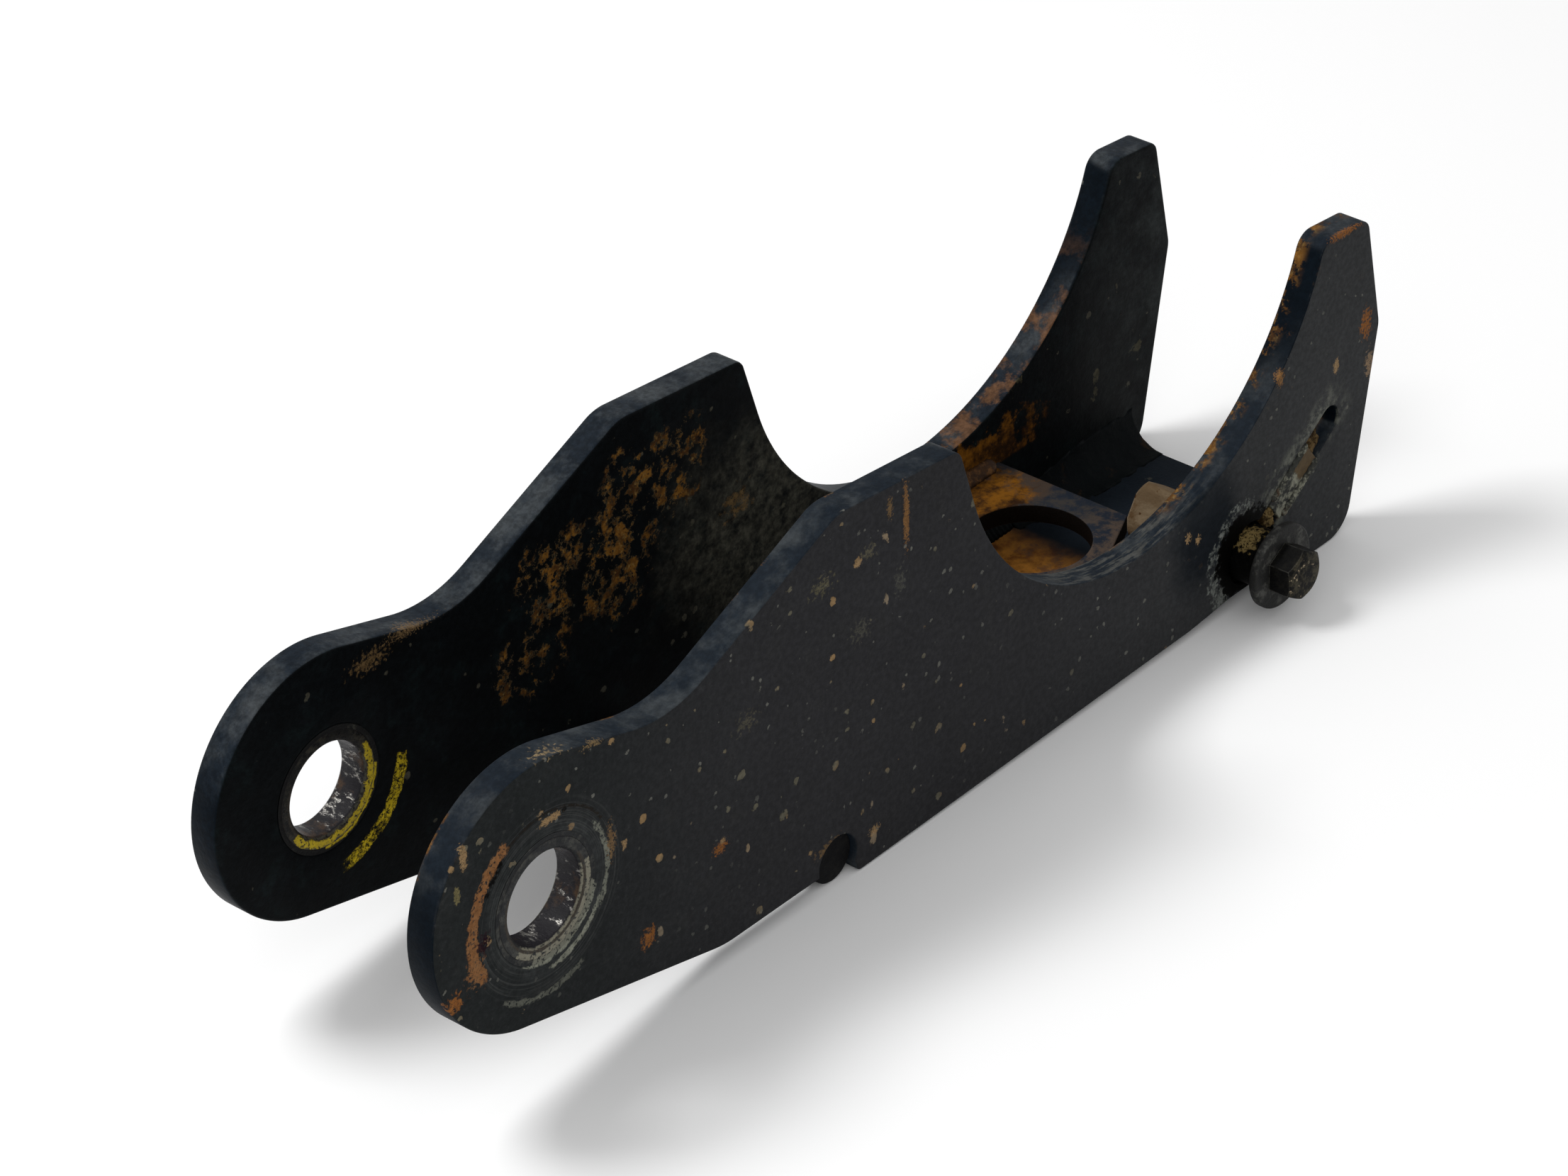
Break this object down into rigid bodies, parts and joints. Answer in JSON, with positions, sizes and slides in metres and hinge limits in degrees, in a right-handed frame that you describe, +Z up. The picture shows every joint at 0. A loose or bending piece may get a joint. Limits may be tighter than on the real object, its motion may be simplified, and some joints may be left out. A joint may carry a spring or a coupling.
{
  "type": "quick coupler",
  "caption": "Welded excavator quick coupler: cheek plates with a pivot bore, a curved saddle between hump and horns, and a push-and-turn lock pin.",
  "frame": {"origin": "on the axis of the pivot bore, in the middle of the gap between the side plates", "axes": "+X towards the horns, +Y along the pivot bore towards the plate without the lock pin, +Z up, square to the foot that it stands on"},
  "size_m": [0.6692, 0.1789, 0.1954],
  "materials": {
    "side_paint": "worn charcoal paint with chips and rust",
    "bush_steel": "bare, greasy, scuffed",
    "seat_rust": "dark paint with orange rust",
    "box_paint": "dull dark paint, dusty",
    "weld_bead": "painted weld bead, ground in places",
    "rod_black": "black, dirty",
    "pin_steel": "rust-stained turned steel",
    "washer_steel": "dusty zinc",
    "bolt_black": "black oxide, dusty"
  },
  "bodies": {
    "frame": {"side_plate_right": "side_paint", "side_plate_left": "side_paint", "pivot_bush_right": "bush_steel", "pivot_bush_left": "bush_steel", "bush_welds_right": "weld_bead", "bush_welds_left": "weld_bead", "seat_plate": "seat_rust", "heel_plate": "box_paint", "box_web": "box_paint", "seat_welds": "weld_bead", "heel_welds": "weld_bead", "web_welds": "weld_bead", "cross_rod": "rod_black", "rod_welds": "weld_bead", "guide_sleeve": "bush_steel", "slot_filler": "weld_bead", "filler_welds": "weld_bead"},
    "lock_washer": {"lock_washer": "washer_steel"},
    "lock_pin": {"lock_pin": "pin_steel", "lock_finger": "pin_steel", "finger_weld": "weld_bead", "lock_bolt": "bolt_black"}
  },
  "joints": [
    {"name": "lock_push", "type": "slide", "parent": "frame", "child": "lock_washer", "axis": [0, 1, 0], "range_m": [0, 0.015]},
    {"name": "lock_turn", "type": "hinge", "parent": "lock_washer", "child": "lock_pin", "pos_m": [0.4985, -0.0855, -0.0725], "axis": [0, -1, 0], "range_deg": [0, 156]}
  ]
}
